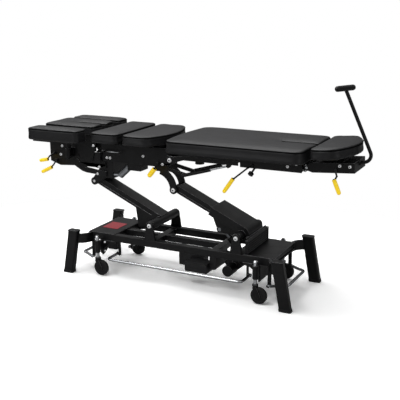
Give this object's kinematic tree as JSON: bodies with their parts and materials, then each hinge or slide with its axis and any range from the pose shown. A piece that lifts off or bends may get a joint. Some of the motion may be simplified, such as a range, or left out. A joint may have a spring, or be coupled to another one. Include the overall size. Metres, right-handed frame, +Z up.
{
  "type": "chiropractic table",
  "caption": "Powered chiropractic table with tilting face cushion, armrests, drop sections, long leg cushion, foot section, parallelogram lift and castors.",
  "frame": {"origin": "on the floor under the middle of the whole table", "axes": "+X from the head end to the foot end, +Y to the far side, away from the levers, +Z up"},
  "size_m": [2.142, 0.606, 1.256],
  "materials": {
    "satin_black": "satin powder coat",
    "vinyl": "black upholstery vinyl over foam",
    "rubber": "matte rubber",
    "chrome": "chrome plate",
    "zinc": "zinc plated steel",
    "yellow": "glossy yellow dip coat on steel",
    "black_plastic": "moulded plastic housing"
  },
  "bodies": {
    "base": {"near_rail": "satin_black", "far_rail": "satin_black", "cross_members": "satin_black", "leg_1": "satin_black", "leg_2": "satin_black", "leg_3": "satin_black", "leg_4": "satin_black", "rubber_feet": "rubber", "head_pivot_brackets": "satin_black", "foot_pivot_brackets": "satin_black", "base_covers": "satin_black", "louvre_guard": "satin_black", "control_box": "black_plastic", "castor_mounts": "satin_black"},
    "head_castors": {"head_castor_stems": "chrome"},
    "foot_castors": {"foot_castor_stems": "chrome"},
    "castor_fork_1": {"castor_fork_1": "satin_black"},
    "castor_wheel_1": {"castor_wheel_1": "rubber"},
    "castor_fork_2": {"castor_fork_2": "satin_black"},
    "castor_wheel_2": {"castor_wheel_2": "rubber"},
    "castor_fork_3": {"castor_fork_3": "satin_black"},
    "castor_wheel_3": {"castor_wheel_3": "rubber"},
    "castor_fork_4": {"castor_fork_4": "satin_black"},
    "castor_wheel_4": {"castor_wheel_4": "rubber"},
    "near_foot_bar": {"near_foot_bar": "chrome"},
    "far_foot_bar": {"far_foot_bar": "chrome"},
    "head_loop_bar": {"head_loop_bar": "chrome"},
    "foot_loop_bar": {"foot_loop_bar": "chrome"},
    "front_arm": {"front_arm": "satin_black"},
    "rear_arm": {"rear_arm": "satin_black"},
    "lift_motor": {"lift_motor": "satin_black"},
    "lift_rod": {"lift_rod": "zinc"},
    "carriage": {"carriage_frame": "satin_black", "head_post": "satin_black", "rear_plates": "satin_black", "drop_actuator": "zinc", "head_arms": "satin_black"},
    "head": {"head_frame": "satin_black", "face_cushion": "vinyl"},
    "armrest_1": {"armrest_1": "vinyl"},
    "armrest_2": {"armrest_2": "vinyl"},
    "head_lever_1": {"head_lever_1": "yellow"},
    "head_lever_2": {"head_lever_2": "yellow"},
    "drop_lever": {"drop_lever": "yellow"},
    "swing_lever": {"swing_lever": "yellow"},
    "foot_lever": {"foot_lever": "yellow"},
    "chest": {"chest_tray": "satin_black", "chest_cushion": "vinyl"},
    "pelvis": {"pelvic_tray": "satin_black", "pelvic_cushion": "vinyl"},
    "flexion": {"flexion_yoke": "satin_black"},
    "struts_low": {"strut_cylinders": "satin_black"},
    "struts_up": {"strut_rods": "chrome"},
    "leg_section": {"leg_frame": "satin_black", "leg_cushion": "vinyl"},
    "tension_knob": {"tension_knob": "black_plastic"},
    "foot_slide": {"foot_slide": "chrome"},
    "foot_section": {"foot_frame": "satin_black", "foot_cushion": "vinyl", "t_handle": "satin_black"}
  },
  "joints": [
    {"name": "head_castor_lift", "type": "slide", "parent": "base", "child": "head_castors", "axis": [0, 0, 1], "range_m": [-0.015, 0]},
    {"name": "foot_castor_lift", "type": "slide", "parent": "base", "child": "foot_castors", "axis": [0, 0, 1], "range_m": [-0.015, 0]},
    {"name": "head_loop_tilt", "type": "hinge", "parent": "base", "child": "head_loop_bar", "pos_m": [-0.673, 0, 0.105], "axis": [0, 1, 0], "range_deg": [-15.2, 0]},
    {"name": "foot_loop_tilt", "type": "hinge", "parent": "base", "child": "foot_loop_bar", "pos_m": [0.551, 0, 0.105], "axis": [0, 1, 0], "range_deg": [0, 15.2]},
    {"name": "castor_swivel_1", "type": "hinge", "parent": "head_castors", "child": "castor_fork_1", "pos_m": [-0.606, -0.225, 0.118], "axis": [0, 0, 1], "continuous": true},
    {"name": "castor_roll_1", "type": "hinge", "parent": "castor_fork_1", "child": "castor_wheel_1", "pos_m": [-0.582, -0.225, 0.052], "axis": [0, 1, 0], "continuous": true},
    {"name": "castor_swivel_2", "type": "hinge", "parent": "head_castors", "child": "castor_fork_2", "pos_m": [-0.606, 0.225, 0.118], "axis": [0, 0, 1], "continuous": true},
    {"name": "castor_roll_2", "type": "hinge", "parent": "castor_fork_2", "child": "castor_wheel_2", "pos_m": [-0.582, 0.225, 0.052], "axis": [0, 1, 0], "continuous": true},
    {"name": "castor_swivel_3", "type": "hinge", "parent": "foot_castors", "child": "castor_fork_3", "pos_m": [0.484, -0.225, 0.118], "axis": [0, 0, 1], "continuous": true},
    {"name": "castor_roll_3", "type": "hinge", "parent": "castor_fork_3", "child": "castor_wheel_3", "pos_m": [0.508, -0.225, 0.052], "axis": [0, 1, 0], "continuous": true},
    {"name": "castor_swivel_4", "type": "hinge", "parent": "foot_castors", "child": "castor_fork_4", "pos_m": [0.484, 0.225, 0.118], "axis": [0, 0, 1], "continuous": true},
    {"name": "castor_roll_4", "type": "hinge", "parent": "castor_fork_4", "child": "castor_wheel_4", "pos_m": [0.508, 0.225, 0.052], "axis": [0, 1, 0], "continuous": true},
    {"name": "near_bar_tilt", "type": "hinge", "parent": "base", "child": "near_foot_bar", "pos_m": [-0.061, -0.075, 0.105], "axis": [1, 0, 0], "range_deg": [-6, 6], "stiffness_Nm_per_rad": 80, "springref_deg": -1.15},
    {"name": "far_bar_tilt", "type": "hinge", "parent": "base", "child": "far_foot_bar", "pos_m": [-0.061, 0.075, 0.105], "axis": [1, 0, 0], "range_deg": [-6, 6], "stiffness_Nm_per_rad": 80, "springref_deg": 1.15},
    {"name": "lift", "type": "hinge", "parent": "base", "child": "rear_arm", "pos_m": [0.337, 0, 0.358], "axis": [0, 1, 0], "range_deg": [-20, 22]},
    {"name": "front_arm_swing", "type": "hinge", "parent": "base", "child": "front_arm", "pos_m": [-0.248, 0, 0.358], "axis": [0, 1, 0], "range_deg": [-20.5, 22.5]},
    {"name": "carriage_level", "type": "hinge", "parent": "rear_arm", "child": "carriage", "pos_m": [-0.137, 0, 0.573], "axis": [0, 1, 0], "range_deg": [-22.5, 20.5]},
    {"name": "motor_swing", "type": "hinge", "parent": "base", "child": "lift_motor", "pos_m": [0.31119, 0, 0.19503], "axis": [0, 1, 0], "range_deg": [-10.5, 11.5]},
    {"name": "lift_rod_swing", "type": "hinge", "parent": "rear_arm", "child": "lift_rod", "pos_m": [0.172, 0, 0.358], "axis": [0, 1, 0], "range_deg": [-11.5, 10.5]},
    {"name": "head_tilt", "type": "hinge", "parent": "carriage", "child": "head", "pos_m": [-0.937, 0, 0.795], "axis": [0, 1, 0], "range_deg": [-20, 20]},
    {"name": "armrest_1_height", "type": "slide", "parent": "carriage", "child": "armrest_1", "axis": [0, 0, 1], "range_m": [-0.05, 0]},
    {"name": "armrest_2_height", "type": "slide", "parent": "carriage", "child": "armrest_2", "axis": [0, 0, 1], "range_m": [-0.05, 0]},
    {"name": "head_lever_1_pull", "type": "hinge", "parent": "carriage", "child": "head_lever_1", "pos_m": [-1.001, 0, 0.742], "axis": [0, 1, 0], "range_deg": [0, 20], "stiffness_Nm_per_rad": 1.5, "springref_deg": -14.32},
    {"name": "head_lever_2_pull", "type": "hinge", "parent": "carriage", "child": "head_lever_2", "pos_m": [-0.986, 0, 0.694], "axis": [0, 1, 0], "range_deg": [0, 15], "stiffness_Nm_per_rad": 1.5, "springref_deg": -14.32},
    {"name": "drop_lever_pull", "type": "hinge", "parent": "carriage", "child": "drop_lever", "pos_m": [-0.211, 0, 0.745], "axis": [0, 1, 0], "range_deg": [0, 20], "stiffness_Nm_per_rad": 1.5, "springref_deg": -14.32},
    {"name": "chest_drop", "type": "slide", "parent": "carriage", "child": "chest", "axis": [0, 0, 1], "range_m": [-0.013, 0]},
    {"name": "pelvic_drop", "type": "slide", "parent": "carriage", "child": "pelvis", "axis": [0, 0, 1], "range_m": [-0.013, 0]},
    {"name": "flexion_tilt", "type": "hinge", "parent": "carriage", "child": "flexion", "pos_m": [-0.124, 0, 0.775], "axis": [0, 1, 0], "range_deg": [-5, 20]},
    {"name": "strut_cylinder_swing", "type": "hinge", "parent": "carriage", "child": "struts_low", "pos_m": [-0.056, 0, 0.678], "axis": [0, 1, 0], "range_deg": [-6.5, 24.5]},
    {"name": "strut_rod_swing", "type": "hinge", "parent": "flexion", "child": "struts_up", "pos_m": [0.251, 0, 0.767], "axis": [0, 1, 0], "range_deg": [-1.5, 4.5]},
    {"name": "leg_swing", "type": "hinge", "parent": "flexion", "child": "leg_section", "pos_m": [0.017, 0, 0], "axis": [0, 0, 1], "range_deg": [-15, 15]},
    {"name": "swing_lever_pull", "type": "hinge", "parent": "leg_section", "child": "swing_lever", "pos_m": [0.414, 0, 0.79], "axis": [0, 1, 0], "range_deg": [0, 12], "stiffness_Nm_per_rad": 3, "springref_deg": -17.19},
    {"name": "knob_turn", "type": "hinge", "parent": "leg_section", "child": "tension_knob", "pos_m": [0.437, -0.1, 0.796], "axis": [-0.5612, 0, -0.8277], "continuous": true},
    {"name": "foot_extension", "type": "slide", "parent": "leg_section", "child": "foot_slide", "axis": [1, 0, 0], "range_m": [0, 0.08]},
    {"name": "foot_tilt", "type": "hinge", "parent": "foot_slide", "child": "foot_section", "pos_m": [0.734, 0, 0.806], "axis": [0, 1, 0], "range_deg": [-6, 30]},
    {"name": "foot_lever_pull", "type": "hinge", "parent": "foot_section", "child": "foot_lever", "pos_m": [0.90157, 0, 0.80368], "axis": [0, 1, 0], "range_deg": [0, 20], "stiffness_Nm_per_rad": 1.5, "springref_deg": -14.32}
  ],
  "couplings": [
    {"joint": "head_loop_tilt", "follows": "head_castor_lift", "rad_per_m": 17.453},
    {"joint": "foot_loop_tilt", "follows": "foot_castor_lift", "rad_per_m": -17.453},
    {"joint": "front_arm_swing", "follows": "lift", "ratio": 1},
    {"joint": "carriage_level", "follows": "lift", "ratio": -1},
    {"joint": "motor_swing", "follows": "lift", "ratio": 0.5},
    {"joint": "lift_rod_swing", "follows": "lift", "ratio": -0.5},
    {"joint": "strut_cylinder_swing", "follows": "flexion_tilt", "ratio": 1.179},
    {"joint": "strut_rod_swing", "follows": "flexion_tilt", "ratio": 0.179}
  ]
}
